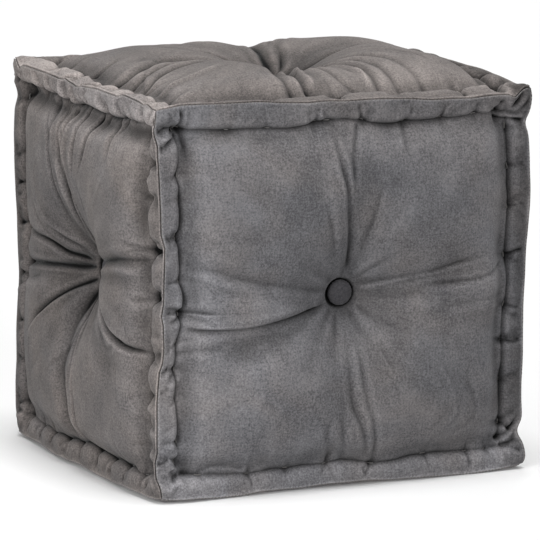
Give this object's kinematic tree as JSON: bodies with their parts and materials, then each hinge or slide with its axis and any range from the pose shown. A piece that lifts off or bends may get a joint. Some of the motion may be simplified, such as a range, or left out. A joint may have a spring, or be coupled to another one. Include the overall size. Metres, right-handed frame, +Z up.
{
  "type": "cube pouf stool",
  "caption": "Firmly filled cotton canvas cube with hand-stitched rolled edges and a covered button drawn into the middle of each panel, standing on its flat base.",
  "frame": {"origin": "middle of the part's box at floor level, under the cushion", "axes": "+Z up; -Y towards the front panel, the one whose button shows whole; +X to the right as seen from the front"},
  "size_m": [0.4641, 0.4453, 0.4343],
  "materials": {
    "canvas": "stonewashed matt cotton canvas, mottled grey",
    "button_canvas": "the same matt canvas, darker, stretched over a button"
  },
  "bodies": {
    "root": {"cushion": "canvas", "button_front": "button_canvas", "button_back": "button_canvas", "button_left": "button_canvas", "button_right": "button_canvas", "button_top": "button_canvas", "button_bottom": "button_canvas"}
  },
  "joints": []
}
